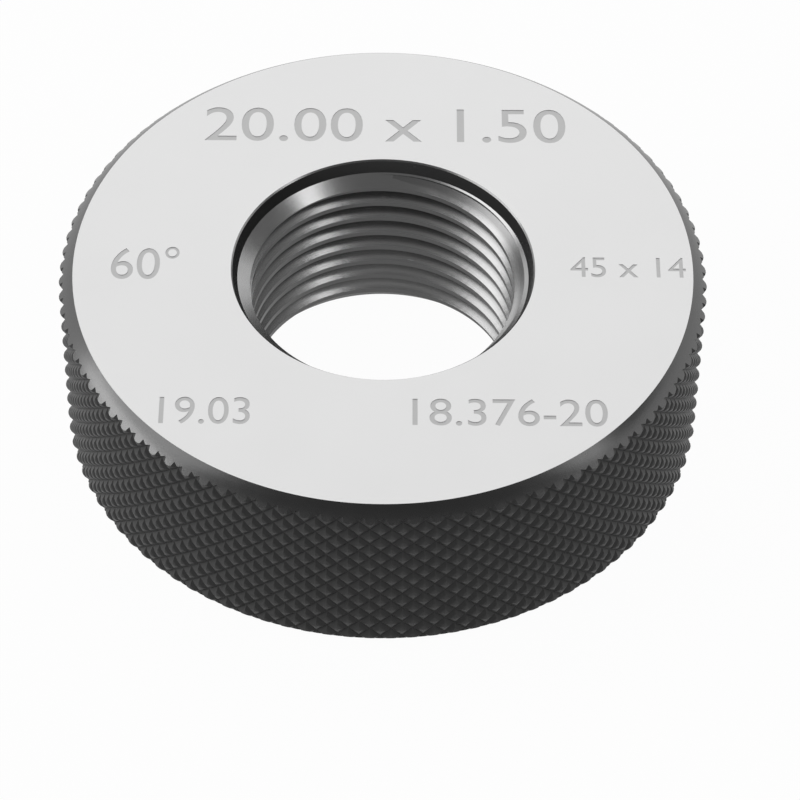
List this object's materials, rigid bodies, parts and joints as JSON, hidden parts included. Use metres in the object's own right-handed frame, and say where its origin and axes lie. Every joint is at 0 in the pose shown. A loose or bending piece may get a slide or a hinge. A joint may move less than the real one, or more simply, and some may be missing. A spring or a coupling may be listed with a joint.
{
  "type": "thread ring gauge",
  "caption": "Steel go thread ring gauge: a flat ring with a threaded, countersunk bore, ground faces and a chamfered rim with a fine diamond knurl for turning it on a screw.",
  "frame": {"origin": "centre of the bore in the lower face, on which the gauge rests", "axes": "+Z along the bore axis, up through the upper face; X and Y are equal, the ring is round"},
  "size_m": [0.045, 0.045, 0.014],
  "materials": {
    "gauge_steel": "ground and lapped faces, blackened knurled rim"
  },
  "bodies": {
    "root": {"gauge_ring": "gauge_steel"}
  },
  "joints": []
}
